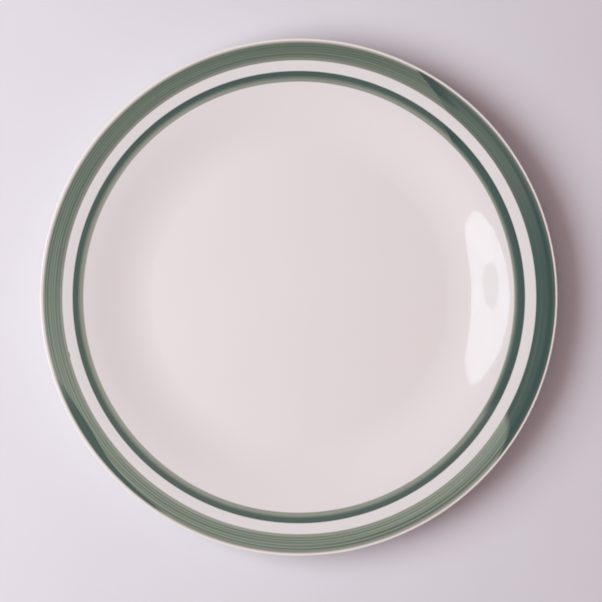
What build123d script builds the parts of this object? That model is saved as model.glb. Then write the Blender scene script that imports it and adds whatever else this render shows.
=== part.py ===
from build123d import *

import os
from math import cos, radians, sin, tan

# A china dinner plate: a flat floor, and a hollow wall that eases into a gently sloping rim
# with two painted bands. Its axis is Z, and it stands on its foot ring at z = 0.
# Every section below is drawn with the radius along x and the height along y.
# Lengths are in millimetres and angles in degrees.

# The eating side, from the middle out. Each radius is a distance from the axis.
plate_radius = 135.0
floor_height = 10.6  # top of the floor above the table
floor_flat_radius = 77.0
cove_end_radius = 79.4  # the tight first curve out of the floor ends here
cove_slope = 4.5
wall_knee_radius = 93.0  # from here the wall turns upwards more slowly
wall_knee_slope = 16.5
wall_top_radius = 102.3  # the hollow wall is steepest here
wall_slope = 19.5
seat_start_radius = 113.2  # the straight stretch under the narrow band
seat_end_radius = 120.0
seat_slope = 14.5
rim_start_radius = 123.0  # the straight stretch under the wide band, out to the lip
rim_slope = 11.5
lip_top_radius = 0.7  # the lip's upper corner
lip_edge = 0.95  # height of the upright part of the lip

# The outside.
lip_bottom_radius = 2.0  # the lip's lower corner, softer than the upper one
floor_thickness = 5.0
back_rim_slope = 14.0  # steeper than the face, so that the rim thickens inwards
back_rim_start = 125.0  # distance from the axis where the back of the rim stops curving
back_wall_slope = 22.5  # steepest slope of the back
back_wall_radius = 104.0  # distance from the axis where the back is steepest
back_foot_slope = 5.0  # slope of the back where it meets the foot ring
foot_outer_radius = 80.0
foot_width = 4.0
foot_draft = 1.2  # how far each side of the foot leans out towards its root
foot_root_radius = 2.0
foot_edge_radius = 0.9

# The coats on the fired body.
glaze_thickness = 0.4
glaze_line = 1.2  # height on the foot where the wiped glaze ends
paint_thickness = 0.2

# The painted bands, as distances from the axis, with their feathered edges.
rim_band_inner = 123.1
rim_band_outer = 134.0
inner_band_inner = 112.3
inner_band_outer = 119.0
wash_outer = 114.9  # the thinly painted inner edge of the narrow band

# Where the brush passed twice, counter-clockwise from +X, at the inner and outer edges.
rim_overlap_start = (331.0, 320.6)
rim_overlap_end = (411.4, 423.4)
inner_overlap_start = (330.0, 334.0)
inner_overlap_end = (407.3, 411.3)
touch_up_start = 198.0
touch_up_end = 237.5
touch_up_deepest = 212.0
touch_up_depth = 5.8

# Working sizes.
past_axis = 20.0  # how far a section runs past the axis before it is trimmed
above_plate = 40.0  # a height clear of the whole plate
clear = 1.0  # how far a cutting shape runs past what it cuts


def heading(angle):
    """The unit direction at an angle from the x axis."""
    return (cos(radians(angle)), sin(radians(angle)))


def bend_between(run, slope_1, slope_2):
    """The radius of the arc that covers a horizontal run while its slope changes."""
    return run / abs(sin(radians(slope_2)) - sin(radians(slope_1)))


def easing(start, to_radius, slope_1, slope_2):
    """The arc from a point out or in to another distance from the axis, from slope to slope."""
    run = to_radius - start.X
    inwards = 180 if run < 0 else 0
    bend = bend_between(abs(run), slope_1, slope_2)
    return JernArc(start, heading(inwards + slope_1), bend, slope_2 - slope_1)


def straight(start, to_radius, slope):
    """The straight line from a point out or in to another distance from the axis."""
    run = to_radius - start.X
    return Line(start, (to_radius, start.Y + run * tan(radians(slope))))


def face_edges():
    """The eating side, from past the axis to where the lip begins."""
    floor = Line((-past_axis, floor_height), (floor_flat_radius, floor_height))
    cove = easing(floor @ 1, cove_end_radius, 0, cove_slope)
    knee = easing(cove @ 1, wall_knee_radius, cove_slope, wall_knee_slope)
    wall = easing(knee @ 1, wall_top_radius, wall_knee_slope, wall_slope)
    crest = easing(wall @ 1, seat_start_radius, wall_slope, seat_slope)
    seat = straight(crest @ 1, seat_end_radius, seat_slope)
    rim_curve = easing(seat @ 1, rim_start_radius, seat_slope, rim_slope)
    rim_end = plate_radius - lip_top_radius * (1 + sin(radians(rim_slope)))
    rim = straight(rim_curve @ 1, rim_end, rim_slope)
    return [floor, cove, knee, wall, crest, seat, rim_curve, rim]


def back_edges(lip_start):
    """The lip and the outside, from the end of the rim to the root of the foot ring."""
    upper = JernArc(lip_start, heading(rim_slope), lip_top_radius, -90 - rim_slope)
    edge = Line(upper @ 1, (upper @ 1) + Vector(0, -lip_edge))
    lower = JernArc(edge @ 1, heading(-90), lip_bottom_radius, back_rim_slope - 90)
    rim = straight(lower @ 1, back_rim_start, back_rim_slope)
    crest = easing(rim @ 1, back_wall_radius, back_rim_slope, back_wall_slope)
    wall = easing(crest @ 1, foot_outer_radius + foot_draft, back_wall_slope, back_foot_slope)
    return [upper, edge, lower, rim, crest, wall]


def foot_edges(root):
    """The foot ring and the recess inside it, from the foot's root back past the axis."""
    recess_height = floor_height - floor_thickness
    foot_inner_radius = foot_outer_radius - foot_width
    return [
        Line(root, (foot_outer_radius, 0)),
        Line((foot_outer_radius, 0), (foot_inner_radius, 0)),
        Line((foot_inner_radius, 0), (foot_inner_radius - foot_draft, recess_height)),
        Line((foot_inner_radius - foot_draft, recess_height), (-past_axis, recess_height)),
        Line((-past_axis, recess_height), (-past_axis, floor_height)),
    ]


def near(corners, x, y):
    """The corner of a section that is nearest to a point."""
    return corners.sort_by_distance((x, y, 0))[0]


def plate_section():
    """The whole glazed plate, cut from its middle to its lip."""
    face = face_edges()
    back = back_edges(face[-1] @ 1)
    foot = foot_edges(back[-1] @ 1)
    section = make_face(face + back + foot)
    corners = section.vertices()
    root = back[-1] @ 1
    recess_corner = foot[2] @ 1
    roots = [near(corners, root.X, root.Y), near(corners, recess_corner.X, recess_corner.Y)]
    section = fillet(roots, foot_root_radius)
    corners = section.vertices()
    foot_inner_radius = foot_outer_radius - foot_width
    bottom = [near(corners, foot_outer_radius, 0), near(corners, foot_inner_radius, 0)]
    return fillet(bottom, foot_edge_radius)


def block(x_1, x_2, y_1, y_2):
    """A rectangle between two distances from the axis and two heights."""
    corner = Location(((x_1 + x_2) / 2, (y_1 + y_2) / 2))
    return corner * Rectangle(x_2 - x_1, y_2 - y_1)


def face_half():
    """All that lies above the middle of the plate's thickness, split half way up the lip."""
    floor, cove, knee, wall, crest, seat, rim_curve, rim = face_edges()
    half = Vector(0, -floor_thickness / 2)
    upright_top = lip_top_radius * cos(radians(rim_slope))
    lip_middle = rim @ 1 + Vector(0, -upright_top - lip_edge / 2)
    middle = [Vector(0, floor_height) + half]
    middle += [edge @ 0.5 + half for edge in (cove, knee, wall, crest, seat)]
    middle += [lip_middle]
    outside = [
        (plate_radius + clear, lip_middle.Y),
        (plate_radius + clear, above_plate),
        (0, above_plate),
    ]
    return make_face(Polyline(*middle, *outside, close=True))


def turned(section):
    """The solid of revolution of a section about the plate's axis, with its seam at -X."""
    return Rot(Z=180) * revolve(Plane.XZ * section, axis=Axis.Z)


def polar(radius, angle):
    """A point of the plan, from its distance and angle about the axis."""
    return (radius * cos(radians(angle)), radius * sin(radians(angle)))


def stroke_outline(inner, outer, start, end):
    """The plan of a brush stroke along a band. Its ends slant from one edge to the other."""
    inner_cut, outer_cut = inner - clear, outer + clear
    reach = clear / (outer - inner)
    ends = []
    for at_inner, at_outer in (start, end):
        slant = (at_outer - at_inner) * reach
        ends.append((at_inner - slant, at_outer + slant))
    (inner_start, outer_start), (inner_end, outer_end) = ends
    first_end = Line(polar(inner_cut, inner_start), polar(outer_cut, outer_start))
    outer_edge = CenterArc((0, 0), outer_cut, outer_start, outer_end - outer_start)
    last_end = Line(polar(outer_cut, outer_end), polar(inner_cut, inner_end))
    inner_edge = CenterArc((0, 0), inner_cut, inner_end, inner_start - inner_end)
    return make_face([first_end, outer_edge, last_end, inner_edge])


def touch_up_outline():
    """The plan of the dab on the wide band: a lens between the band's outer edge and an arc."""
    outer_cut = rim_band_outer + clear
    first = polar(outer_cut, touch_up_start)
    last = polar(outer_cut, touch_up_end)
    deepest = polar(rim_band_outer - touch_up_depth, touch_up_deepest)
    inner_edge = Spline(first, deepest, last)
    outer_edge = CenterArc((0, 0), outer_cut, touch_up_start, touch_up_end - touch_up_start)
    return make_face([inner_edge, outer_edge])


def column(outline):
    """An upright cutter with the given plan, taller than the plate."""
    return extrude(outline, above_plate)


def body_and_foot(section, glaze):
    """The bare fired clay, parted where the foot ring meets the floor and wall."""
    clay = section - glaze
    recess_height = floor_height - floor_thickness
    foot_zone = block(
        foot_outer_radius - foot_width - 2 * foot_draft,
        foot_outer_radius + foot_draft,
        -clear,
        recess_height - glaze_thickness,
    )
    foot = clay & foot_zone
    body = clay - foot_zone
    return turned(body), turned(foot)


def glaze_coats(glaze, paint_zones):
    """The glaze on the face, on the outside and inside the foot ring."""
    face = (glaze & face_half()) - paint_zones
    rest = glaze - face_half()
    foot_middle = foot_outer_radius - foot_width / 2
    back = rest & block(foot_middle, plate_radius + clear, 0, above_plate)
    base = rest & block(0, foot_middle, 0, above_plate)
    return turned(face), turned(back), turned(base)


def build():
    """Every piece of the plate, by node name."""
    whole = plate_section()
    axis_side = block(0, plate_radius + clear, -clear, above_plate)
    above_glaze_line = block(0, plate_radius + clear, glaze_line, above_plate)
    section = whole & axis_side
    glaze = (section - offset(whole, amount=-glaze_thickness)) & above_glaze_line
    paint_layer = (section - offset(whole, amount=-paint_thickness)) & face_half()
    rim_zone = block(rim_band_inner, rim_band_outer, 0, above_plate)
    wash_zone = block(inner_band_inner, wash_outer, 0, above_plate)
    inner_zone = block(wash_outer, inner_band_outer, 0, above_plate)

    rim_paint = turned(paint_layer & rim_zone)
    inner_paint = turned(paint_layer & inner_zone)
    rim_overlap = column(
        stroke_outline(rim_band_inner, rim_band_outer, rim_overlap_start, rim_overlap_end)
    )
    inner_overlap = column(
        stroke_outline(wash_outer, inner_band_outer, inner_overlap_start, inner_overlap_end)
    )
    touch_up = column(touch_up_outline())
    paint_zones = paint_layer & (rim_zone + wash_zone + inner_zone)

    plate_body, foot_ring = body_and_foot(section, glaze)
    face_glaze, back_glaze, base_glaze = glaze_coats(glaze, paint_zones)
    return {
        "plate_body": plate_body,
        "foot_ring": foot_ring,
        "face_glaze": face_glaze,
        "back_glaze": back_glaze,
        "base_glaze": base_glaze,
        "rim_band": rim_paint - rim_overlap - touch_up,
        "rim_band_overlap": rim_paint & rim_overlap,
        "rim_band_touch_up": rim_paint & touch_up,
        "inner_band": inner_paint - inner_overlap,
        "inner_band_overlap": inner_paint & inner_overlap,
        "inner_band_wash": turned(paint_layer & wash_zone),
    }


os.makedirs("parts", exist_ok=True)
for name, piece in build().items():
    export_step(piece, f"parts/{name}.step")
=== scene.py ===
from collections import namedtuple
from math import asin, atan2, cos, pi, radians, sin, tan

import bmesh
import bpy
from mathutils import Matrix, Vector


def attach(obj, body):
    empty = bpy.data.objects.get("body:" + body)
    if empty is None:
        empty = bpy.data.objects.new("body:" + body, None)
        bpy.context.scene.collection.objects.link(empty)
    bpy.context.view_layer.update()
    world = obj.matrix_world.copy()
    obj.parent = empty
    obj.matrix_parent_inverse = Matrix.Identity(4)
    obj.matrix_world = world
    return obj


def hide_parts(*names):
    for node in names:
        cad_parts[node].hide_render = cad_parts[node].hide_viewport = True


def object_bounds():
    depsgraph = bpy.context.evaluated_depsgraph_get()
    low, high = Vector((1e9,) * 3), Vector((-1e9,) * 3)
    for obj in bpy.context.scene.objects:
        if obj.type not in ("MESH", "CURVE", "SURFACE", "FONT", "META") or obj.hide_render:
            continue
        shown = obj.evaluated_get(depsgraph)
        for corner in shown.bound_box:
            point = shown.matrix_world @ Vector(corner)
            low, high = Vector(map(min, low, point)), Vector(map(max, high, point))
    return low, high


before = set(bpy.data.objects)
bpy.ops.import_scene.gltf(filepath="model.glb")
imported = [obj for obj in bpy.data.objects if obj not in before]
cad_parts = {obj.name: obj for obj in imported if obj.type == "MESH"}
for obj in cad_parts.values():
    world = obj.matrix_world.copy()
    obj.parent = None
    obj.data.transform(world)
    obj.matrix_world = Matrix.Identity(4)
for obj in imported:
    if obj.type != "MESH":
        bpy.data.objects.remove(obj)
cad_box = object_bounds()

# The looks of a china dinner plate: a glazed shell turned about Z, with brushed bands.
# The plate's own sizes are in millimetres and its angles in degrees, counter-clockwise
# from +X. The meshes, the lights and the camera are in metres.
MM = 0.001
WHOLE_TURN = 360.0

# The eating side: distance from the axis, and how steep the face is there.
FLOOR_HEIGHT = 10.6
FACE_STATIONS = [
    (0.0, 0.0),
    (77.0, 0.0),
    (79.4, 4.5),
    (93.0, 16.5),
    (102.3, 19.5),
    (113.2, 14.5),
    (120.0, 14.5),
    (123.0, 11.5),
    (134.160, 11.5),
]

# The lip: a tight upper corner, an upright edge and a softer lower corner.
PLATE_RADIUS = 135.0
LIP_TOP_BEND = 0.7
LIP_EDGE = 0.95
LIP_BOTTOM_BEND = 2.0

# The outside, from the lip inwards, and the foot ring.
BACK_STATIONS = [
    (133.484, 14.0),
    (125.0, 14.0),
    (104.0, 22.5),
    (83.4, 6.7),
]
FOOT_ROOT = (81.2, 6.09)
FOOT_OUTER_RADIUS = 80.0
FOOT_INNER_RADIUS = 76.0
RECESS_RADIUS = 74.8
RECESS_HEIGHT = 5.6
FOOT_ROOT_BEND = 2.0
FOOT_EDGE_BEND = 0.9
FOOT_TOP = 5.2  # where the foot ring's clay runs into the plate's

# The coats.
GLAZE = 0.4
PAINT = 0.2
GLAZE_LINE = 1.2  # the height on the foot ring below which the clay is bare

# The coats of paint, from their inner to their outer edge, and the colour inside them.
RIM_BAND = (123.1, 134.0)
INNER_BAND = (112.3, 119.0)
WASH_OUTER = 114.9
RIM_PAINT = (123.72, 133.6)
INNER_PAINT = (112.8, 118.3)
EDGE_SOFTNESS = 0.4
BAND_SHIFT = 0.24  # how far the wide band's circle lies off the plate's axis
BAND_SHIFT_ANGLE = 347.0

# Where the brush passed twice: the angles at the band's inner and at its outer edge.
RIM_OVERLAP = ((-29.0, -39.4), (51.4, 63.4))
INNER_OVERLAP = ((-30.0, -26.0), (47.3, 51.3))

# The dab of paint on the wide band's outer half.
DAB = (198.0, 237.5)
DAB_DEEPEST = 212.0
DAB_DEPTH = 6.4
DAB_ROUNDNESS = 0.7

# How finely the meshes are divided.
TURNS = 360  # divisions around the plate
STEP = 1.6  # millimetres between rings on a curve
FLOOR_STEP = 7.0  # the same on the plate's flat floor
LIP_STEP = 0.3  # and over the lip's upper corner
LIP_PARTS = 8  # divisions of each of the lip's corners
BEND_PARTS = 6  # divisions of a small rounded corner of the foot
RIM_ROWS = 12  # divisions across each coat of paint
DAB_ROWS = 6
INNER_ROWS = 5
WASH_ROWS = 4
SHARPEST_SMOOTH_ANGLE = 35.0
MERGE_DISTANCE = 1e-7  # metres
ON_AXIS = 1e-6  # a distance from the axis that counts as none
SAME_SLOPE = 1e-9


# ---------------------------------------------------------------- the plate's outline


def rise(near, far, radius):
    """The height gained from one station towards the next, and the slope reached."""
    (r_1, slope_1), (r_2, slope_2) = near, far
    sine_1, sine_2 = sin(radians(slope_1)), sin(radians(slope_2))
    if abs(sine_2 - sine_1) < SAME_SLOPE:
        return (radius - r_1) * tan(radians(slope_1)), radians(slope_1)
    bend = (r_2 - r_1) / (sine_2 - sine_1)
    sine = sine_1 + (radius - r_1) / bend
    cosine = (1 - sine * sine) ** 0.5
    return bend * (cos(radians(slope_1)) - cosine), atan2(sine, cosine)


def on_stations(stations, height, radius):
    """Height and slope of a run of stations at a distance from the axis."""
    for near, far in zip(stations, stations[1:]):
        low, high = sorted((near[0], far[0]))
        if low <= radius <= high:
            gained, slope = rise(near, far, radius)
            return height + gained, slope
        height += rise(near, far, far[0])[0]
    raise ValueError(f"no station at {radius} mm")


def lip_height():
    """The height of the lip's upper corner's centre, where the upright edge starts."""
    radius, slope = FACE_STATIONS[-1]
    height = on_stations(FACE_STATIONS, FLOOR_HEIGHT, radius)[0]
    return height - LIP_TOP_BEND * cos(radians(slope))


def face(radius, depth=0.0):
    """A point of the face, or of a layer that lies a depth under it."""
    if radius <= FACE_STATIONS[-1][0]:
        height, slope = on_stations(FACE_STATIONS, FLOOR_HEIGHT, radius)
    else:
        slope = asin((PLATE_RADIUS - LIP_TOP_BEND - radius) / LIP_TOP_BEND)
        height = lip_height() + LIP_TOP_BEND * cos(slope)
    return (radius, height - depth / cos(slope))


def back(radius, depth=0.0):
    """A point of the outside, or of a layer that lies a depth inside it."""
    first_slope = radians(BACK_STATIONS[0][1])
    start = lip_height() - LIP_EDGE - LIP_BOTTOM_BEND * cos(first_slope)
    height, slope = on_stations(BACK_STATIONS, start, radius)
    return (radius, height + depth / cos(slope))


def steps(start, end, step=STEP):
    """Evenly spread numbers from start to end, both included."""
    count = max(1, round(abs(end - start) / step))
    return [start + (end - start) * i / count for i in range(count + 1)]


def face_run(start, end, depth=0.0):
    """Points along the face between two distances from the axis, with every station."""
    stops = [r for r, slope in FACE_STATIONS if start < r < end]
    stops = [start] + stops + [end]
    radii = [start]
    for near, far in zip(stops, stops[1:]):
        step = STEP
        if far <= FACE_STATIONS[1][0]:
            step = FLOOR_STEP
        if far > FACE_STATIONS[-1][0]:
            step = LIP_STEP
        radii += steps(near, far, step)[1:]
    return [face(r, depth) for r in radii]


def back_run(depth=0.0):
    """Points along the outside, from the lip to the root of the foot ring."""
    radii = [BACK_STATIONS[0][0]]
    for near, far in zip(BACK_STATIONS, BACK_STATIONS[1:]):
        radii += steps(near[0], far[0])[1:]
    return [back(r, depth) for r in radii]


def between(first, last, share):
    """The number a share of the way from first to last."""
    return first + (last - first) * share


def arc(centre, radius, first, last):
    """Points on a circle between two directions, in degrees from the horizontal."""
    shares = [i / LIP_PARTS for i in range(LIP_PARTS + 1)]
    turns = [radians(between(first, last, share)) for share in shares]
    return [(centre[0] + radius * cos(t), centre[1] + radius * sin(t)) for t in turns]


def upper_lip(first, depth=0.0):
    """The lip's upper corner from a direction on, and the upper half of its edge."""
    centre = (PLATE_RADIUS - LIP_TOP_BEND, lip_height())
    corner = arc(centre, LIP_TOP_BEND - depth, first, 0.0)
    return corner + [(PLATE_RADIUS - depth, lip_height() - LIP_EDGE / 2)]


def lower_lip(depth=0.0):
    """The lower half of the lip's edge, and its lower corner."""
    centre = (PLATE_RADIUS - LIP_BOTTOM_BEND, lip_height() - LIP_EDGE)
    corner = arc(centre, LIP_BOTTOM_BEND - depth, 0.0, BACK_STATIONS[0][1] - 90)
    return [(PLATE_RADIUS - depth, lip_height() - LIP_EDGE / 2)] + corner


def rounded(corners):
    """An outline through corners (radius, height, bend), each rounded by its bend."""
    points = [corners[0][:2]]
    for before, corner, after in zip(corners, corners[1:], corners[2:]):
        here = Vector(corner[:2])
        back_way = (Vector(before[:2]) - here).normalized()
        ahead = (Vector(after[:2]) - here).normalized()
        half = back_way.angle(ahead) / 2
        centre = here + (back_way + ahead).normalized() * (corner[2] / sin(half))
        start = here + back_way * (corner[2] / tan(half)) - centre
        end = here + ahead * (corner[2] / tan(half)) - centre
        sweep = end.angle_signed(start)
        for i in range(BEND_PARTS + 1):
            turn = Matrix.Rotation(sweep * i / BEND_PARTS, 2)
            points.append(tuple(centre + turn @ start))
    points.append(corners[-1][:2])
    return points


def foot_run(depth=0.0):
    """The foot ring and the recess inside it, a depth under the outer surface."""
    outside = BACK_STATIONS[-1][0]
    lean = depth * (FOOT_ROOT[0] - FOOT_OUTER_RADIUS) / FOOT_ROOT[1]
    return rounded(
        [
            back(outside, depth) + (0,),
            (FOOT_ROOT[0] - depth + lean, FOOT_ROOT[1] + depth, FOOT_ROOT_BEND + depth),
            (FOOT_OUTER_RADIUS - depth, depth, FOOT_EDGE_BEND - depth),
            (FOOT_INNER_RADIUS + depth, depth, FOOT_EDGE_BEND - depth),
            (RECESS_RADIUS + depth - lean, RECESS_HEIGHT + depth, FOOT_ROOT_BEND + depth),
            (0.0, RECESS_HEIGHT + depth, 0),
        ]
    )


def cut_at(points, height):
    """The stretches of a run of points that lie above a height, with their cut ends."""
    stretches, current = [], []
    for near, far in zip(points, points[1:]):
        if near[1] >= height:
            current.append(near)
        if (near[1] - height) * (far[1] - height) < 0:
            share = (height - near[1]) / (far[1] - near[1])
            cut = (between(near[0], far[0], share), height)
            current.append(cut)
            if far[1] < height:
                stretches.append(current)
                current = []
    if points[-1][1] >= height:
        current.append(points[-1])
    return stretches + [current]


# ---------------------------------------------------------------- meshes


def placed(thing):
    """Puts a new object in the scene."""
    bpy.context.scene.collection.objects.link(thing)
    return thing


def finished(name, mesh_data, node, material):
    """Turns a bmesh into a piece that stands for a CAD node and rides on its body."""
    bmesh.ops.remove_doubles(mesh_data, verts=mesh_data.verts, dist=MERGE_DISTANCE)
    bmesh.ops.dissolve_degenerate(mesh_data, edges=mesh_data.edges, dist=MERGE_DISTANCE)
    bmesh.ops.recalc_face_normals(mesh_data, faces=mesh_data.faces)
    mesh = bpy.data.meshes.new(name)
    mesh_data.to_mesh(mesh)
    mesh_data.free()
    mesh.shade_smooth()
    mesh.set_sharp_from_angle(angle=radians(SHARPEST_SMOOTH_ANGLE))
    mesh.materials.append(material)
    piece = placed(bpy.data.objects.new(name, mesh))
    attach(piece, "root")
    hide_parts(node)


def at(radius, height, angle):
    """A point in metres, from millimetres and an angle in radians."""
    return (radius * cos(angle) * MM, radius * sin(angle) * MM, height * MM)


def turned(section):
    """A closed solid of revolution of a closed section, as a bmesh."""
    made = bmesh.new()
    rings = []
    for radius, height in section:
        if radius < ON_AXIS:
            rings.append([made.verts.new((0, 0, height * MM))] * TURNS)
            continue
        ring = [made.verts.new(at(radius, height, 2 * pi * i / TURNS)) for i in range(TURNS)]
        rings.append(ring)
    for near, far in zip(rings, rings[1:] + rings[:1]):
        for i in range(TURNS):
            j = (i + 1) % TURNS
            corners = []
            for vert in (near[i], near[j], far[j], far[i]):
                if vert not in corners:
                    corners.append(vert)
            if len(corners) > 2:
                made.faces.new(corners)
    return made


def patch(place, columns, rows, closed):
    """A thin coat of paint in the face. place(u, v) is its angle and distance from the axis."""
    made = bmesh.new()
    layers = []
    for depth in (0.0, PAINT):
        grid = []
        for i in range(columns + (0 if closed else 1)):
            line = []
            for j in range(rows + 1):
                angle, radius = place(i / columns, j / rows)
                line.append(made.verts.new(at(*face(radius, depth), radians(angle))))
            grid.append(line)
        layers.append(grid)
    top, bottom = layers
    for i in range(columns):
        k = (i + 1) % len(top)
        for j in range(rows):
            made.faces.new((top[i][j], top[k][j], top[k][j + 1], top[i][j + 1]))
            made.faces.new((bottom[i][j + 1], bottom[k][j + 1], bottom[k][j], bottom[i][j]))
        for j in (0, rows):
            made.faces.new((top[i][j], top[k][j], bottom[k][j], bottom[i][j]))
    if not closed:
        for i in (0, columns):
            for j in range(rows):
                made.faces.new((top[i][j], top[i][j + 1], bottom[i][j + 1], bottom[i][j]))
    return made


def stroke(band, start, end, outer_edge=None):
    """Where a stroke between two slanted ends lies, as a place(u, v) for patch."""

    def place(u, v):
        angle = between(between(*start, v), between(*end, v), u)
        outer = band[1]
        if outer_edge:
            outer = outer_edge(between(start[1], end[1], u))
        return angle, between(band[0], outer, v)

    return place


def dab_edge(angle):
    """How far from the axis the dab's inner edge lies at an angle."""
    turn = angle % WHOLE_TURN
    if not DAB[0] < turn < DAB[1]:
        return RIM_BAND[1]
    if turn < DAB_DEEPEST:
        share = (turn - DAB[0]) / (DAB_DEEPEST - DAB[0])
    else:
        share = (DAB[1] - turn) / (DAB[1] - DAB_DEEPEST)
    return RIM_BAND[1] - DAB_DEPTH * sin(pi / 2 * share) ** DAB_ROUNDNESS


def dab_place(u, v):
    """Where the dab lies, as a place(u, v) for patch."""
    angle = between(*DAB, u)
    return angle, between(dab_edge(angle), RIM_BAND[1], v)


def ring_place(band):
    """Where an unbroken ring lies, as a place(u, v) for patch."""
    return lambda u, v: (WHOLE_TURN * u, between(*band, v))


# ---------------------------------------------------------------- materials

# Brush streaks drawn out along the turning direction: millimetres across, how fast they
# change around the plate, how many finer layers they have, and a seed.
Streaks = namedtuple("Streaks", "width wander detail seed")

# The sockets that a mix node uses for colours, among those for numbers and vectors.
MIX_SHARE, MIX_FIRST, MIX_SECOND, MIX_RESULT = 0, 6, 7, 2


class Surface:
    """One material in the making, with short names for the patterns it is built from."""

    def __init__(self, name):
        self.material = bpy.data.materials.new(name)
        self.material.use_nodes = True
        self.tree = self.material.node_tree
        self.shader = self.tree.nodes["Principled BSDF"]
        where = self.node("ShaderNodeTexCoord").outputs["Object"]
        self.place = self.vector("SCALE", where)
        self.place.node.inputs["Scale"].default_value = 1 / MM
        split = self.node("ShaderNodeSeparateXYZ")
        self.feed(split.inputs[0], self.place)
        x, y, z = split.outputs
        squares = self.total(self.math("POWER", x, 2.0), self.math("POWER", y, 2.0))
        self.radius = self.math("SQRT", squares)
        angle = self.math("ARCTAN2", y, x)
        self.angle = self.product(angle, 180 / pi)
        self.round_x = self.math("COSINE", angle)
        self.round_y = self.math("SINE", angle)
        off_centre = self.product(self.around(BAND_SHIFT_ANGLE), -BAND_SHIFT)
        self.band_radius = self.total(self.radius, off_centre)

    def node(self, kind, **settings):
        """A new node, with its settings."""
        made = self.tree.nodes.new(kind)
        for key, value in settings.items():
            setattr(made, key, value)
        return made

    def feed(self, socket, value):
        """Gives a socket a number or colour, or links another node's output to it."""
        if isinstance(value, bpy.types.NodeSocket):
            self.tree.links.new(value, socket)
        else:
            socket.default_value = value

    def feed_shader(self, socket_name, value):
        """Gives the shader's socket of that name a value."""
        self.feed(self.shader.inputs[socket_name], value)

    def result(self, made, values):
        """A node's first output, once its inputs have their values."""
        for socket, value in zip(made.inputs, values):
            self.feed(socket, value)
        return made.outputs[0]

    def math(self, operation, *values):
        """The result of one arithmetic node."""
        return self.result(self.node("ShaderNodeMath", operation=operation), values)

    def vector(self, operation, *values):
        """The vector result of one vector node."""
        return self.result(self.node("ShaderNodeVectorMath", operation=operation), values)

    def total(self, first, *others):
        """Numbers or fields added up."""
        for other in others:
            first = self.math("ADD", first, other)
        return first

    def product(self, first, *others):
        """Numbers or fields multiplied together."""
        for other in others:
            first = self.math("MULTIPLY", first, other)
        return first

    def shift(self, value, by):
        """A number or a field moved by an amount."""
        if isinstance(value, bpy.types.NodeSocket):
            return self.math("ADD", value, by)
        return value + by

    def ramp(self, value, low, high, to_low=0.0, to_high=1.0):
        """Eases from one number at low to another at high."""
        made = self.node("ShaderNodeMapRange", interpolation_type="SMOOTHSTEP")
        return self.result(made, (value, low, high, to_low, to_high))

    def step(self, value, place, reach, levels=(0.0, 1.0)):
        """Eases from one level to the other near a place, over a reach counted from there."""
        low, high = self.shift(place, reach[0]), self.shift(place, reach[1])
        return self.ramp(value, low, high, *levels)

    def band(self, value, low, high, softness):
        """One between two numbers and nothing outside them, with soft edges."""
        risen = self.step(value, low, (-softness, softness))
        fallen = self.step(value, high, (softness, -softness))
        return self.product(risen, fallen)

    def noise(self, vector, scale, detail=2.0, roughness=0.5):
        """Smooth noise from 0 to 1, about 0.5 on average."""
        made = self.node("ShaderNodeTexNoise", noise_dimensions="3D")
        self.feed(made.inputs["Vector"], vector)
        made.inputs["Scale"].default_value = scale
        made.inputs["Detail"].default_value = detail
        made.inputs["Roughness"].default_value = roughness
        return made.outputs[0]

    def streaks(self, kind):
        """Noise drawn out along the turning direction, in a kind of streaks."""
        joined = self.node("ShaderNodeCombineXYZ")
        east = self.product(self.round_x, kind.wander)
        north = self.product(self.round_y, kind.wander)
        outward = self.total(self.math("DIVIDE", self.radius, kind.width), kind.seed)
        return self.noise(self.result(joined, (east, north, outward)), 1.0, kind.detail)

    def mix(self, share, first, second):
        """A colour part of the way from first to second."""
        made = self.node("ShaderNodeMix", data_type="RGBA")
        self.feed(made.inputs[MIX_SHARE], share)
        self.feed(made.inputs[MIX_FIRST], first)
        self.feed(made.inputs[MIX_SECOND], second)
        return made.outputs[MIX_RESULT]

    def around(self, degrees_of_peak):
        """From -1 to 1 around the plate, with its peak at an angle."""
        turn = radians(degrees_of_peak)
        east = self.product(self.round_x, cos(turn))
        north = self.product(self.round_y, sin(turn))
        return self.total(east, north)

    def side(self, degrees_of_peak, levels):
        """Eases around the plate from one level to another, which it has at an angle."""
        return self.ramp(self.around(degrees_of_peak), -1.0, 1.0, *levels)

    def across(self, band):
        """How far across a band a point lies: 0 at its inner edge, 1 at its outer edge."""
        span = self.math("SUBTRACT", self.radius, band[0])
        return self.math("DIVIDE", span, band[1] - band[0])

    def bump(self, height, distance):
        """Small relief, as deep as distance in metres."""
        made = self.node("ShaderNodeBump")
        self.feed(made.inputs["Height"], height)
        made.inputs["Distance"].default_value = distance
        made.inputs["Strength"].default_value = 1.0
        self.feed_shader("Normal", made.outputs[0])


# The colours, as linear red, green, blue and opacity.
WHITE = (0.834, 0.809, 0.790, 1.0)
WHITE_WARM = (0.826, 0.793, 0.768, 1.0)
# The white darkened by painted shade, towards the rim and between the bands.
WHITE_PAINTED_SHADE = (0.783, 0.778, 0.765, 1.0)
CREAM = (0.850, 0.838, 0.755, 1.0)
TAN = (0.36, 0.36, 0.29, 1.0)
SAGE_THIN = (0.213, 0.277, 0.205, 1.0)
SAGE_THICK = (0.043, 0.075, 0.052, 1.0)
TEAL = (0.0345, 0.0695, 0.0585, 1.0)
TEAL_DEEP = (0.0235, 0.052, 0.0458, 1.0)
GREEN_THICK = (0.055, 0.094, 0.073, 1.0)
GREEN_THIN = (0.268, 0.308, 0.240, 1.0)
CLAY = (0.80, 0.77, 0.71, 1.0)
CLAY_WORN = (0.66, 0.62, 0.55, 1.0)

# Noise lies mostly between 0.3 and 0.7. A pattern's range is where its ramp starts and ends
# on the noise, and the scales are in cells per millimetre.
AVERAGE_NOISE = 0.5
CLOUD_DETAIL = 3.0

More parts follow.
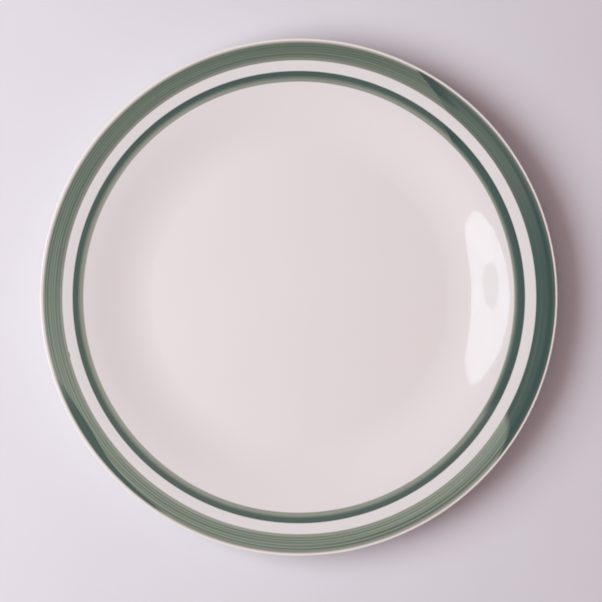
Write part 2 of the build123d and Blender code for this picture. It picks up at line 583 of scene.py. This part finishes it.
# The white glaze.
WARM_CLOUDS = 0.02
WARM_RANGE = (0.35, 0.65)
WARM_SHARE = 0.45  # how warm the warmest clouds get
PAINTED_RIM_SHADE = (98.0, 121.0)  # painted shade: from where to where the white greys towards the rim
CREAM_EDGE = (0.0, 0.8)  # how far outside the wide band the lip turns creamy
GLOSS_CLOUDS = 0.045
GLOSS_RANGE = (0.3, 0.7)
GLOSS_SPREAD = (-0.01, 0.015)  # how much smoother and rougher the patches are
FACE_ROUGHNESS = 0.045
OUTSIDE_ROUGHNESS = 0.07
GLAZE_IOR = 1.5
RIPPLE = 0.11
RIPPLE_DEPTH = 0.00004  # metres, as all depths of relief
TURNING_RINGS = Streaks(width=2.4, wander=0.4, detail=2.0, seed=41.0)
RING_DEPTH = 0.00005


def white_glaze(surface):
    """The white glaze: a little warmer in clouds, greyer on the rim by painted shade, and
    creamy on the lip.
    """
    clouds = surface.noise(surface.place, WARM_CLOUDS, CLOUD_DETAIL)
    share = surface.ramp(clouds, *WARM_RANGE, 0.0, WARM_SHARE)
    colour = surface.mix(share, WHITE, WHITE_WARM)
    # Painted shade: the white darkens towards the rim and between the bands.
    rim = surface.ramp(surface.radius, *PAINTED_RIM_SHADE)
    colour = surface.mix(rim, colour, WHITE_PAINTED_SHADE)
    lip = surface.step(surface.radius, RIM_PAINT[1], CREAM_EDGE)
    return surface.mix(lip, colour, CREAM)


def glossy(surface, roughness):
    """Gives the surface the gloss of fired glaze, nearly smooth, with wiped patches."""
    clouds = surface.noise(surface.place, GLOSS_CLOUDS)
    levels = (roughness + spread for spread in GLOSS_SPREAD)
    surface.feed_shader("Roughness", surface.ramp(clouds, *GLOSS_RANGE, *levels))
    surface.feed_shader("IOR", GLAZE_IOR)


def glaze_material(name, *coats):
    """White glaze with coats of paint, each given as a function of surface and colour."""
    surface = Surface(name)
    colour = white_glaze(surface)
    for coat in coats:
        colour = coat(surface, colour)
    surface.feed_shader("Base Color", colour)
    glossy(surface, FACE_ROUGHNESS)
    surface.bump(surface.noise(surface.place, RIPPLE), RIPPLE_DEPTH)
    return surface.material


def outside_material():
    """The glaze outside and under the plate, with faint rings left by turning."""
    surface = Surface("glaze_outside")
    surface.feed_shader("Base Color", white_glaze(surface))
    glossy(surface, OUTSIDE_ROUGHNESS)
    surface.bump(surface.streaks(TURNING_RINGS), RING_DEPTH)
    return surface.material


def wavy(surface, edge, size, seed):
    """A band's edge that wanders a little in and out around the plate."""
    wander = surface.streaks(Streaks(width=1000.0, wander=2.2, detail=2.0, seed=seed))
    return surface.total(surface.product(wander, 2 * size), edge - size)


# The wide band's first coat. Its thickness runs from 0, thin sage, to 1, thick sage.
RIM_THICKNESS = (0.30, 0.57)  # where it is thinnest and thickest around the plate
RIM_THICKEST_ANGLE = 112.0
RIM_GAIN_ACROSS = 0.18  # how much thicker it is at its outer than at its inner edge
BROAD_STREAKS = Streaks(width=2.4, wander=0.7, detail=1.0, seed=3.0)
BROAD_DEPTH = 0.9
FINE_STREAKS = Streaks(width=0.8, wander=1.1, detail=1.0, seed=11.0)
FINE_DEPTH = 0.7
LINE_SPACING = 1.45  # between the brush lines
LINE_DEPTH = 0.14
LINE_WAVER = Streaks(width=3.0, wander=0.9, detail=1.0, seed=7.0)
LINE_WAVER_SIZE = 9.0  # in radians of a line's wave
STREAKY_ANGLE = 240.0  # the side where streaks show most
STREAKY_REACH = (-0.5, 0.5)  # from where to where towards that side they grow stronger
STREAK_SHARES = (0.45, 1.0)  # how much they show opposite that side, and on it
RIM_WANDER = (0.10, 5.0)  # how far the inner edge wanders, and its seed
INNER_TAN = (2.6, 0.0)  # how far in from the inner edge the tan shows, and where it is full
INNER_TAN_SHARE = 0.35
OUTER_TAN = (-1.5, -0.1)  # the same at the outer edge, where the tan is full
NICK_ANGLE = 194.0  # where a bristle left a tick at the inner edge
NICK_REACH = (0.9, 0.1)  # degrees to each side where the tick ends and where it is full
NICK_DEPTH = 0.45


def combed(surface):
    """Fine, evenly spaced brush lines round the plate, from -1 to 1, that waver a little."""
    waver = surface.product(surface.streaks(LINE_WAVER), LINE_WAVER_SIZE)
    phase = surface.product(surface.band_radius, 2 * pi / LINE_SPACING)
    return surface.math("SINE", surface.total(phase, waver))


def rim_unevenness(surface):
    """How much thicker or thinner the brush streaks make the wide band's first coat."""
    broad = surface.shift(surface.streaks(BROAD_STREAKS), -AVERAGE_NOISE)
    fine = surface.shift(surface.streaks(FINE_STREAKS), -AVERAGE_NOISE)
    broad = surface.product(broad, BROAD_DEPTH)
    fine = surface.product(fine, FINE_DEPTH)
    lines = surface.product(combed(surface), LINE_DEPTH)
    shown = surface.ramp(surface.around(STREAKY_ANGLE), *STREAKY_REACH, *STREAK_SHARES)
    return surface.product(surface.total(broad, fine, lines), shown)


def rim_coat(surface, under):
    """The wide band's first coat: sage green in fine brush streaks, tan at both edges."""
    inner, outer = RIM_PAINT
    level = surface.side(RIM_THICKEST_ANGLE, RIM_THICKNESS)
    gain = surface.product(surface.across(RIM_PAINT), RIM_GAIN_ACROSS)
    thick = surface.total(level, gain, rim_unevenness(surface))
    colour = surface.mix(surface.ramp(thick, 0.0, 1.0), SAGE_THIN, SAGE_THICK)
    inner_tan = surface.step(surface.band_radius, inner, INNER_TAN, (0.0, INNER_TAN_SHARE))
    colour = surface.mix(inner_tan, colour, TAN)
    outer_tan = surface.step(surface.band_radius, outer, OUTER_TAN)
    colour = surface.mix(outer_tan, colour, TAN)
    off_nick = surface.math("ABSOLUTE", surface.shift(surface.angle, WHOLE_TURN - NICK_ANGLE))
    nick = surface.ramp(off_nick, *NICK_REACH, 0.0, -NICK_DEPTH)
    edge = surface.total(wavy(surface, inner, *RIM_WANDER), nick)
    cover = surface.band(surface.band_radius, edge, outer, EDGE_SOFTNESS)
    return surface.mix(cover, under, colour)


# The second coats' ends, in degrees.
RIM_START_HOOK = -6.0  # how far the start bends back near the outer edge
RIM_END_SOFTNESS = 0.9
INNER_END_SOFTNESS = 1.6
START_SOFTNESS = (-2.2, 1.2)  # a start's soft edge, counted in end softnesses
HOOK_POWER = 4.0


def end_cover(surface, share, overlap, start_hook, softness):
    """Where a second coat lies between its ends, and how many degrees it still has to run."""
    (start_in, start_out), (end_in, end_out) = overlap
    slant = surface.product(share, start_out - start_in - start_hook)
    along = surface.math("POWER", surface.math("MAXIMUM", share, 0.0), HOOK_POWER)
    start = surface.total(slant, start_in, surface.product(along, start_hook))
    end = surface.total(surface.product(share, end_out - end_in), end_in)
    past_start = surface.math("SUBTRACT", surface.angle, start)
    to_run = surface.math("SUBTRACT", end, surface.angle)
    begun = surface.ramp(past_start, *(reach * softness for reach in START_SOFTNESS))
    unfinished = surface.ramp(to_run, 0.0, softness)
    return surface.product(begun, unfinished), to_run


# The wide band's second coat.
RIM_LIFT = (15.0, 2.5)  # degrees before the end where it starts to darken and is darkest
RIM_LIFT_SIDE = (0.1, 0.5)  # how far across the band the darkening starts and is full
RIM_LIFT_COVER = 0.95
SECOND_STREAKS = Streaks(width=1.5, wander=0.9, detail=2.0, seed=21.0)
SECOND_STREAK_RANGE = (0.45, 0.75)
SECOND_STREAK_DEPTH = 0.5
SECOND_GAP_RANGE = (0.28, 0.5)
SECOND_GAP_COVER = 0.86  # what is left of the cover between the streaks
DARK_LINE = 0.76  # how far across the band the dark line lies
DARK_LINE_REACH = (0.19, 0.02)
DARK_LINE_DEPTH = 0.75
DARK_LINE_COVER = 0.25
THINNING = (5.0, 44.0)  # the angles between which the brush runs dry
THINNING_COVER = (0.97, 0.48)
SECOND_COAT_INSET = 0.15  # how far its outer edge lies inside the first coat's


def rim_second_coat(surface, under):
    """A second coat of dark teal, darkest a third in from the edge and where it was lifted."""
    share = surface.across(RIM_PAINT)
    cover, to_run = end_cover(surface, share, RIM_OVERLAP, RIM_START_HOOK, RIM_END_SOFTNESS)
    outer_half = surface.ramp(share, *RIM_LIFT_SIDE)
    lifted = surface.product(surface.ramp(to_run, *RIM_LIFT), outer_half)
    streak = surface.streaks(SECOND_STREAKS)
    off_line = surface.math("ABSOLUTE", surface.shift(share, -DARK_LINE))
    line = surface.ramp(off_line, *DARK_LINE_REACH, 0.0, DARK_LINE_DEPTH)
    streaky = surface.ramp(streak, *SECOND_STREAK_RANGE, 0.0, SECOND_STREAK_DEPTH)
    deep = surface.math("MINIMUM", surface.total(streaky, line, lifted), 1.0)
    colour = surface.mix(deep, TEAL, TEAL_DEEP)
    thin = surface.ramp(surface.angle, *THINNING, *THINNING_COVER)
    thin = surface.total(thin, surface.product(line, DARK_LINE_COVER))
    opaque = surface.math("MAXIMUM", thin, surface.product(lifted, RIM_LIFT_COVER))
    parted = surface.ramp(streak, *SECOND_GAP_RANGE, SECOND_GAP_COVER, 1.0)
    opaque = surface.math("MINIMUM", surface.product(opaque, parted), 1.0)
    outer = RIM_PAINT[1] - SECOND_COAT_INSET
    inside = surface.band(surface.band_radius, RIM_PAINT[0], outer, EDGE_SOFTNESS)
    return surface.mix(surface.product(cover, opaque, inside), under, colour)


# The dab: a belly and a long tail along the band's outer edge. Each reach is counted from
# the place it belongs to, in degrees along the dab and in millimetres across it.
DAB_TAIL_TAPER = 0.098  # millimetres that the tail narrows in each degree
DAB_TAIL_TIP = 1.6  # its width at the tip
DAB_TAIL_WIDTH = 3.2  # its greatest width
DAB_TAIL_START = (-2.0, 5.0)
DAB_BELLY = 1.9  # how much wider than the tail it is at its deepest
DAB_BELLY_START = 2.0
DAB_BELLY_FULL = -1.0
DAB_BELLY_END = 11.0
DAB_INNER_EDGE = (-0.3, 0.4)
DAB_OUTER_EDGE = (0.1, -1.1)
DAB_TIP_EDGE = (1.5, -2.5)
DAB_STREAKS = Streaks(width=1.3, wander=0.9, detail=1.0, seed=25.0)
DAB_STREAK_RANGE = (0.3, 0.6)
DAB_COVER = (0.82, 0.97)  # between the streaks, and on them
DAB_THIN_START = (0.0, 9.0)
DAB_THIN_COVER = (0.45, 1.0)  # how much of the cover is there at the dab's start


def dab_width(surface, turn):
    """How far in from the wide band's outer edge the dab reaches."""
    narrowing = surface.product(turn, -DAB_TAIL_TAPER)
    narrowing = surface.total(narrowing, DAB_TAIL_TAPER * DAB[1] + DAB_TAIL_TIP)
    tail = surface.math("MINIMUM", narrowing, DAB_TAIL_WIDTH)
    tail = surface.product(tail, surface.step(turn, DAB[0], DAB_TAIL_START))
    swelling = surface.ramp(turn, DAB[0] + DAB_BELLY_START, DAB_DEEPEST + DAB_BELLY_FULL)
    shrinking = surface.ramp(turn, DAB_DEEPEST + DAB_BELLY_END, DAB_DEEPEST)
    return surface.total(tail, surface.product(swelling, shrinking, DAB_BELLY))


def dab_coat(surface, under):
    """The dab of second coat on the outer half of the wide band, with a thin tail."""
    turn = surface.shift(surface.angle, WHOLE_TURN)
    edge = surface.math("SUBTRACT", RIM_PAINT[1], dab_width(surface, turn))
    cover = surface.product(
        surface.ramp(surface.math("SUBTRACT", surface.radius, edge), *DAB_INNER_EDGE),
        surface.step(surface.radius, RIM_PAINT[1], DAB_OUTER_EDGE),
        surface.step(turn, DAB[1], DAB_TIP_EDGE),
        surface.ramp(surface.streaks(DAB_STREAKS), *DAB_STREAK_RANGE, *DAB_COVER),
        surface.step(turn, DAB[0], DAB_THIN_START, DAB_THIN_COVER),
    )
    return surface.mix(cover, under, TEAL)


# The narrow band's two coats.
INNER_STREAKS = Streaks(width=1.6, wander=0.9, detail=2.0, seed=31.0)
INNER_STREAK_RANGE = (0.35, 0.75)
INNER_STREAK_DEPTH = 0.35
INNER_THICKEST_ANGLE = 80.0
INNER_THICKNESS = (0.05, 0.70)
WASH_STREAK_RANGE = (0.3, 0.75)
WASH_REACH = (-0.2, 1.0)  # from where to where towards that angle the wash thickens
WASH_THICKNESS = (0.0, 0.10)
WASH_SOFTNESS = 1.3
WASH_WANDER = (0.2, 9.0)  # how far its outer edge wanders, and its seed
INNER_WANDER = (0.15, 15.0)
INNER_LIFT = (8.0, 0.5)  # degrees before the end where it starts to darken and is darkest
INNER_SECOND_STREAKS = Streaks(width=1.4, wander=0.9, detail=2.0, seed=35.0)
INNER_SECOND_STREAK_RANGE = (0.4, 0.7)
INNER_SECOND_STREAK_DEPTH = 0.6
WASH_EDGE = (-0.7, 0.4)  # where the second coat turns from thin to full, from WASH_OUTER
SECOND_INNER_EDGE = (0.2, 1.6)
SECOND_OUTER_EDGE = (0.2, -0.7)
WASH_COVER = 0.75  # the second coat's cover over the wash


def inner_coat(surface, under):
    """The narrow band: a dark outer part that thins to a wash along its inner edge."""
    inner, outer = INNER_PAINT
    streak = surface.streaks(INNER_STREAKS)
    towards = surface.around(INNER_THICKEST_ANGLE)
    wash_side = surface.ramp(towards, *WASH_REACH, *WASH_THICKNESS)
    wash_streak = surface.ramp(streak, *WASH_STREAK_RANGE, 0.0, INNER_STREAK_DEPTH)
    wash = surface.mix(surface.total(wash_side, wash_streak), GREEN_THIN, GREEN_THICK)
    dark_side = surface.side(INNER_THICKEST_ANGLE, INNER_THICKNESS)
    dark_streak = surface.ramp(streak, *INNER_STREAK_RANGE, 0.0, INNER_STREAK_DEPTH)
    dark = surface.mix(surface.total(dark_side, dark_streak), GREEN_THICK, TEAL)
    change = wavy(surface, WASH_OUTER, *WASH_WANDER)
    past_wash = surface.step(surface.radius, change, (-WASH_SOFTNESS, WASH_SOFTNESS))
    colour = surface.mix(past_wash, wash, dark)
    edge = wavy(surface, inner, *INNER_WANDER)
    cover = surface.band(surface.radius, edge, outer, EDGE_SOFTNESS)
    return surface.mix(cover, under, colour)


def inner_second_coat(surface, under):
    """The narrow band's second coat, thin over the wash and darkest where it was lifted."""
    inner, outer = INNER_PAINT
    share = surface.across((WASH_OUTER, outer))
    cover, to_run = end_cover(surface, share, INNER_OVERLAP, 0.0, INNER_END_SOFTNESS)
    lifted = surface.ramp(to_run, *INNER_LIFT)
    streak = surface.streaks(INNER_SECOND_STREAKS)
    depths = (0.0, INNER_SECOND_STREAK_DEPTH)
    streaky = surface.ramp(streak, *INNER_SECOND_STREAK_RANGE, *depths)
    deep = surface.math("MINIMUM", surface.total(streaky, lifted), 1.0)
    colour = surface.mix(deep, TEAL, TEAL_DEEP)
    on_wash = surface.step(surface.radius, WASH_OUTER, WASH_EDGE[::-1])
    colour = surface.mix(on_wash, colour, GREEN_THICK)
    thin = surface.step(surface.radius, inner, SECOND_INNER_EDGE, (0.0, WASH_COVER))
    full = surface.step(surface.radius, WASH_OUTER, WASH_EDGE, (0.0, 1.0 - WASH_COVER))
    fallen = surface.step(surface.radius, outer, SECOND_OUTER_EDGE)
    opaque = surface.product(surface.total(thin, full), fallen)
    return surface.mix(surface.product(cover, opaque), under, colour)


# The bare clay.
BODY_GRAIN = 1.2
FOOT_GRAIN = 2.2
GRAIN_DETAIL = (4.0, 0.65)  # the grain's finer layers, and how strong they are
GRAIN_COLOUR_RANGE = (0.35, 0.75)
GRAIN_GLOSS_RANGE = (0.2, 0.8)
GRAIN_DEPTH = 0.00012
RUBBED_STREAKS = Streaks(width=1.5, wander=3.0, detail=3.0, seed=51.0)
RUBBED_RANGE = (0.3, 0.8)
CLAY_ROUGHNESS = (0.6, 0.85)


def clay_material(name, grain_scale):
    """Bare fired clay: matt, finely grained, darker where it has been handled."""
    surface = Surface(name)
    grain = surface.noise(surface.place, grain_scale, *GRAIN_DETAIL)
    rubbed = surface.ramp(surface.streaks(RUBBED_STREAKS), *RUBBED_RANGE)
    share = surface.product(surface.ramp(grain, *GRAIN_COLOUR_RANGE), rubbed)
    surface.feed_shader("Base Color", surface.mix(share, CLAY, CLAY_WORN))
    roughness = surface.ramp(grain, *GRAIN_GLOSS_RANGE, *CLAY_ROUGHNESS)
    surface.feed_shader("Roughness", roughness)
    surface.bump(grain, GRAIN_DEPTH)
    return surface.material


# ---------------------------------------------------------------- the pieces


def face_under_glaze():
    """The clay's surface under the face's glaze, from the axis to the middle of the lip."""
    last_radius, last_slope = FACE_STATIONS[-1]
    run = face_run(0.0, last_radius, GLAZE)
    return run + upper_lip(90.0 + last_slope, GLAZE)[1:]


def face_glaze_section():
    """The white glaze of the face, lowered where the paint lies in it."""
    top_of_lip = PLATE_RADIUS - LIP_TOP_BEND
    outside = face_run(0.0, INNER_BAND[0])
    outside += face_run(*INNER_BAND, PAINT)
    outside += face_run(INNER_BAND[1], RIM_BAND[0])
    outside += face_run(*RIM_BAND, PAINT)
    outside += face_run(RIM_BAND[1], top_of_lip)
    outside += upper_lip(90.0)[1:]
    return outside + face_under_glaze()[::-1]


def outer_path(depth=0.0):
    """The outside of the plate from the lip's edge to the axis, a depth under the surface."""
    return lower_lip(depth) + back_run(depth)[1:] + foot_run(depth)[1:]


def back_glaze_section():
    """The glaze from the lip's edge down to the glaze line on the foot ring."""
    outside = cut_at(outer_path(), GLAZE_LINE)[0]
    inside = cut_at(outer_path(GLAZE), GLAZE_LINE)[0]
    return outside + inside[::-1]


def base_glaze_section():
    """The glaze inside the foot ring."""
    outside = cut_at(outer_path(), GLAZE_LINE)[1]
    inside = cut_at(outer_path(GLAZE), GLAZE_LINE)[1]
    return outside + inside[::-1]


def foot_ring_section():
    """The bare foot: full width below the glaze line, and under the glaze above it."""
    upside_down = [(r, -z) for r, z in foot_run()]
    bare = [(r, -z) for r, z in cut_at(upside_down, -GLAZE_LINE)[0]]
    outer, inner = cut_at(foot_run(GLAZE), GLAZE_LINE)
    outer = [p for p in outer if p[1] < FOOT_TOP]
    inner = [p for p in inner if p[1] < FOOT_TOP]
    return outer + bare + inner


def plate_body_section():
    """The clay of the floor, wall and rim under the glaze."""
    kept = cut_at(outer_path(GLAZE), FOOT_TOP)
    return face_under_glaze() + kept[0][1:] + kept[1]


def first_stroke(band, overlap, outer_edge=None):
    """Where the first coat shows: from the second coat's end round to its start."""
    start, end = overlap
    return stroke(band, end, tuple(angle + WHOLE_TURN for angle in start), outer_edge)


def build_pieces():
    """Every piece of the plate, each standing for the CAD node of the same name."""
    white = glaze_material("glaze_white")
    outside = outside_material()
    rim_paint = glaze_material("paint_rim", rim_coat, rim_second_coat, dab_coat)
    inner_paint = glaze_material("paint_inner", inner_coat, inner_second_coat)
    clay = clay_material("clay_body", BODY_GRAIN)
    foot = clay_material("clay_foot", FOOT_GRAIN)

    solids = [
        ("plate_body", plate_body_section(), "porcelain", clay),
        ("foot_ring", foot_ring_section(), "bare_foot", foot),
        ("face_glaze", face_glaze_section(), "white_glaze", white),
        ("back_glaze", back_glaze_section(), "white_glaze", outside),
        ("base_glaze", base_glaze_section(), "white_glaze", outside),
    ]
    for node, section, slot, material in solids:
        finished("china_" + node, turned(section), node, material)

    dark_band = (WASH_OUTER, INNER_BAND[1])
    wash_band = (INNER_BAND[0], WASH_OUTER)
    rim_first = first_stroke(RIM_BAND, RIM_OVERLAP, dab_edge)
    rim_second = stroke(RIM_BAND, *RIM_OVERLAP)
    inner_first = first_stroke(dark_band, INNER_OVERLAP)
    inner_second = stroke(dark_band, *INNER_OVERLAP)
    # Each coat's node, where it lies, its divisions along and across it, and its looks.
    strokes = [
        ("rim_band", rim_first, 290, RIM_ROWS, "sage_green_paint", rim_paint),
        ("rim_band_overlap", rim_second, 100, RIM_ROWS, "dark_teal_paint", rim_paint),
        ("rim_band_touch_up", dab_place, 60, DAB_ROWS, "dark_teal_paint", rim_paint),
        ("inner_band", inner_first, 290, INNER_ROWS, "dark_green_paint", inner_paint),
        ("inner_band_overlap", inner_second, 76, INNER_ROWS, "dark_teal_paint", inner_paint),
    ]
    for node, place, columns, rows, slot, material in strokes:
        coat = patch(place, columns, rows, closed=False)
        finished("china_" + node, coat, node, material)

    node = "inner_band_wash"
    ring = patch(ring_place(wash_band), TURNS, WASH_ROWS, closed=True)
    finished("china_" + node, ring, node, inner_paint)


build_pieces()


# ---------------------------------------------------------------- floor, light and camera

# The floor, matt pale plaster.
FLOOR_COLOUR = (0.728, 0.733, 0.780, 1.0)
FLOOR_COLOUR_DARKER = (0.715, 0.718, 0.766, 1.0)
FLOOR_CLOUDS = 0.012  # cells per millimetre
FLOOR_CLOUD_RANGE = (0.3, 0.7)
FLOOR_ROUGHNESS = 0.75
FLOOR_SPECULAR = 0.2
FLOOR_RADIUS = 6.0
DISC_PARTS = 96  # sides of a flat disc

# The key lamp, placed as the plate's right wall sees it.
RIGHT_WALL = Vector((0.100, 0.0, 0.016))
LAMP_AZIMUTH = 180.0
KEY_COLOUR = (0.935, 0.949, 1.0)
KEY_POWER = 10.8
KEY_TILT = 44.5
KEY_DISTANCE = 1.15
KEY_ANGLE = 19.9  # half the angle that the lamp fills
KEY_WIDTH = 2 * KEY_DISTANCE * tan(radians(KEY_ANGLE))

# The key lamp's bright face, as the gloss mirrors it.
FACE_TILT = 42.8
FACE_ANGLE = 18.0
FACE_NARROWING = 0.905
SHINE = 5.2
SHINE_COLOUR = (0.72, 0.90, 1.0, 1.0)
HUB_COLOUR = (0.12, 0.28, 0.30, 1.0)
HUB_PLACE = (38.0, 178.0, 0.0)  # millimetres right of and above the middle of the face
HUB_RADIUS = 84.0
HUB_SOFTNESS = (-8.4, 0.0)
FOLDS = 4.0  # the scale of the noise around the hub
FOLD_RANGE = (0.35, 0.65)
FOLD_GLOW = (0.80, 1.0)

# The soft light from all round, and a broad lamp for it.
FILL_COLOUR = (1.0, 0.656, 0.663)
FILL_POWER = 6.5
FILL_WIDTH = 1.6
FILL_TILT = 15.0
FILL_DISTANCE = 1.6
FOOT_CENTRE = Vector((0.0, 0.0, 0.0))
SKY_STRENGTH = 0.10

# The camera looks straight down.
CAMERA_HEIGHT = 1.0  # above the rim
CAMERA_SIDE = 0.00115
CAMERA_DOWN = -0.00203
HALF_VIEW = 0.1568  # half the width seen at the rim
SENSOR_WIDTH = 36.0
PICTURE_GAMMA = 1.3


def disc(name, radius):
    """A flat disc facing up, for the floor or a lamp's face."""
    made = bmesh.new()
    bmesh.ops.create_circle(made, cap_ends=True, segments=DISC_PARTS, radius=radius)
    mesh = bpy.data.meshes.new(name)
    made.to_mesh(mesh)
    made.free()
    thing = placed(bpy.data.objects.new(name, mesh))
    return thing


def floor_material():
    """Pale, slightly lilac plaster, matt."""
    surface = Surface("pale_floor")
    clouds = surface.noise(surface.place, FLOOR_CLOUDS, CLOUD_DETAIL)
    share = surface.ramp(clouds, *FLOOR_CLOUD_RANGE)
    surface.feed_shader("Base Color", surface.mix(share, FLOOR_COLOUR, FLOOR_COLOUR_DARKER))
    surface.feed_shader("Roughness", FLOOR_ROUGHNESS)
    surface.feed_shader("Specular IOR Level", FLOOR_SPECULAR)
    return surface.material


def aimed(thing, tilt, distance, target):
    """Puts a lamp at a tilt from straight up and a distance, facing the target."""
    across_floor = sin(radians(tilt))
    azimuth = radians(LAMP_AZIMUTH)
    away = Vector(
        (across_floor * cos(azimuth), across_floor * sin(azimuth), cos(radians(tilt)))
    )
    thing.location = target + away * distance
    thing.rotation_euler = away.to_track_quat("Z", "Y").to_euler()


def lamp(name, width, power, colour):
    """A round soft lamp that lights surfaces but isn't mirrored in them."""
    data = bpy.data.lights.new(name, "AREA")
    data.shape = "DISK"
    data.size = width
    data.energy = power
    data.color = colour
    thing = placed(bpy.data.objects.new(name, data))
    thing.visible_camera = False
    thing.visible_glossy = False
    return thing


def lamp_face_material():
    """The glow of the key lamp's face: greyer at its hub, with faint folds around it."""
    surface = Surface("lamp_face")
    from_hub = surface.vector("SUBTRACT", surface.place, HUB_PLACE)
    length = surface.node("ShaderNodeVectorMath", operation="LENGTH")
    surface.feed(length.inputs[0], from_hub)
    off_hub = surface.step(length.outputs["Value"], HUB_RADIUS, HUB_SOFTNESS)
    folds = surface.noise(surface.vector("NORMALIZE", from_hub), FOLDS)
    glow = surface.node("ShaderNodeEmission")
    surface.feed(glow.inputs["Color"], surface.mix(off_hub, HUB_COLOUR, SHINE_COLOUR))
    strength = surface.product(surface.ramp(folds, *FOLD_RANGE, *FOLD_GLOW), SHINE)
    surface.feed(glow.inputs["Strength"], strength)
    surface.feed(surface.tree.nodes["Material Output"].inputs["Surface"], glow.outputs[0])
    return surface.material


def build_lights():
    """The key lamp, its face for the gloss, the fill lamp and the light from all round."""
    key = lamp("key", KEY_WIDTH, KEY_POWER, KEY_COLOUR)
    aimed(key, KEY_TILT, KEY_DISTANCE, RIGHT_WALL)
    fill = lamp("fill", FILL_WIDTH, FILL_POWER, FILL_COLOUR)
    aimed(fill, FILL_TILT, FILL_DISTANCE, FOOT_CENTRE)

    face_disc = disc("key_face", KEY_DISTANCE * tan(radians(FACE_ANGLE)))
    aimed(face_disc, FACE_TILT, KEY_DISTANCE, RIGHT_WALL)
    face_disc.scale.x = FACE_NARROWING
    face_disc.data.materials.append(lamp_face_material())
    for ray in ("camera", "diffuse", "transmission", "volume_scatter", "shadow"):
        setattr(face_disc, "visible_" + ray, False)

    world = bpy.data.worlds.new("studio")
    world.use_nodes = True
    backdrop = world.node_tree.nodes["Background"]
    backdrop.inputs["Color"].default_value = (*FILL_COLOUR, 1.0)
    backdrop.inputs["Strength"].default_value = SKY_STRENGTH
    bpy.context.scene.world = world


def build_camera():
    """The camera above the plate, and how its picture is developed."""
    data = bpy.data.cameras.new("camera")
    data.sensor_width = SENSOR_WIDTH
    data.lens = SENSOR_WIDTH / 2 * CAMERA_HEIGHT / HALF_VIEW
    camera = placed(bpy.data.objects.new("camera", data))
    camera.location = (CAMERA_SIDE, CAMERA_DOWN, cad_box[1].z + CAMERA_HEIGHT)
    scene = bpy.context.scene
    scene.camera = camera
    scene.view_settings.view_transform = "Standard"
    scene.view_settings.gamma = PICTURE_GAMMA


floor = disc("floor", FLOOR_RADIUS)
floor.data.materials.append(floor_material())
build_lights()
build_camera()
